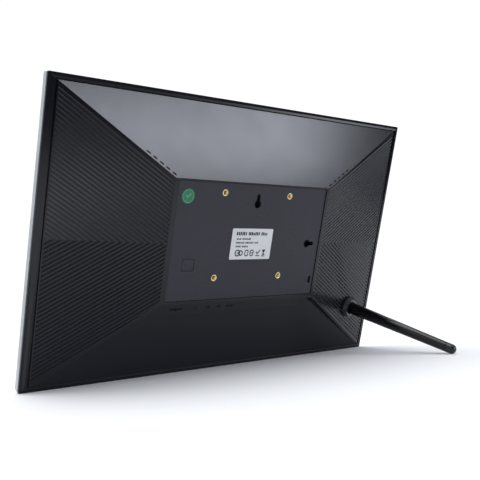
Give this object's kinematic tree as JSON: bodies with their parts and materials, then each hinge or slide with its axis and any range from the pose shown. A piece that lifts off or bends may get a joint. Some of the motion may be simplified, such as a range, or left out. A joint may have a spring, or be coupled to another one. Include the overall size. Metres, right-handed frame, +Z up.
{
  "type": "digital photo frame",
  "caption": "Digital photo frame with a faceted black back cover, ribbed side facets, recessed mounting plate with brass inserts and keyholes, and a screw-in rod stand.",
  "frame": {"origin": "centre of the foot of the bounding box, on the table, as the frame stands leaning back on its rod", "axes": "+X along the frame (to the right seen from the front), +Y out of the back, +Z up; the back leans 17 degrees from upright"},
  "size_m": [0.3914, 0.1444, 0.2357],
  "materials": {
    "bezel_silver": "satin silver-grey",
    "front_glass": "clear, polished",
    "black_print": "black screen print",
    "adhesive_tape": "foam tape",
    "black_foam": "closed-cell foam",
    "display_glass": "display, switched off",
    "film": "diffusing film",
    "acrylic": "clear light guide",
    "led_strip": "white board with diodes",
    "tray_steel": "bright sheet",
    "chassis_steel": "zinc-plated sheet",
    "screw_steel": "plated",
    "cover_plastic": "satin black, slightly glossy",
    "plate_plastic": "fine-textured charcoal",
    "brass": "machined",
    "label_film": "white film label",
    "green_sticker": "green film",
    "button_plastic": "fine-textured charcoal",
    "switch_black": "moulded",
    "circuit_board": "green solder mask",
    "chip_black": "moulded package",
    "heat_spreader": "anodised",
    "shield_steel": "tin-plated",
    "capacitor_can": "bright can",
    "socket_steel": "nickel-plated",
    "socket_black": "moulded",
    "cable_film": "white film cable",
    "connector_white": "moulded",
    "speaker_frame": "moulded",
    "speaker_cone": "pressed cone",
    "aerial_film": "copper on amber film",
    "collar_plastic": "satin black",
    "washer_rubber": "soft",
    "stud_steel": "zinc-plated thread",
    "rod_black": "gloss black",
    "tip_rubber": "smooth black rubber"
  },
  "bodies": {
    "frame": {"front_bezel": "bezel_silver", "cover_glass": "front_glass", "glass_mask": "black_print", "glass_tape": "adhesive_tape", "panel_gasket": "black_foam", "lcd_panel": "display_glass", "optical_sheets": "film", "light_guide": "acrylic", "backlight_leds": "led_strip", "reflector_sheet": "film", "panel_tray": "tray_steel", "chassis_plate": "chassis_steel", "chassis_screws": "screw_steel", "back_cover": "cover_plastic", "rear_plate": "plate_plastic", "mount_inserts": "brass", "lock_slot_plate": "chassis_steel", "rating_label": "label_film", "inspection_sticker": "green_sticker", "power_switch": "shield_steel", "main_board": "circuit_board", "board_standoffs": "brass", "board_screws": "screw_steel", "processor": "chip_black", "heat_spreader": "heat_spreader", "memory_chips": "chip_black", "wifi_module": "shield_steel", "wifi_aerial": "aerial_film", "board_capacitors": "capacitor_can", "sd_card_socket": "socket_steel", "headphone_socket": "socket_black", "dc_socket": "socket_black", "micro_usb_socket": "socket_steel", "usb_socket": "socket_steel", "driver_board": "circuit_board", "driver_chips": "chip_black", "cable_connectors": "connector_white", "flat_cable": "cable_film", "speaker_left": "speaker_frame", "speaker_right": "speaker_frame", "speaker_cones": "speaker_cone", "speaker_pads": "black_foam", "stand_collar": "collar_plastic", "stand_nut": "brass"},
    "stand_carrier": {"stand_washer": "washer_rubber"},
    "stand_rod": {"stand_rod": "rod_black", "stand_stud": "stud_steel", "stand_tip": "tip_rubber"},
    "power_button": {"power_button": "button_plastic", "switch_plunger": "switch_black"}
  },
  "joints": [
    {"name": "stand_travel", "type": "slide", "parent": "frame", "child": "stand_carrier", "axis": [-0.1801, 0.9185, -0.3519], "range_m": [0, 0.007]},
    {"name": "stand_screw", "type": "hinge", "parent": "stand_carrier", "child": "stand_rod", "pos_m": [-0.1565, -0.04265, 0.04687], "axis": [-0.1801, 0.9185, -0.3519], "range_deg": [0, 2520]},
    {"name": "button_press", "type": "slide", "parent": "frame", "child": "power_button", "axis": [0, -0.9563, 0.2924], "range_m": [0, 0.0006], "stiffness_N_per_m": 800, "springref_m": -0.0008}
  ],
  "couplings": [
    {"joint": "stand_screw", "follows": "stand_travel", "rad_per_m": 6283.2}
  ]
}
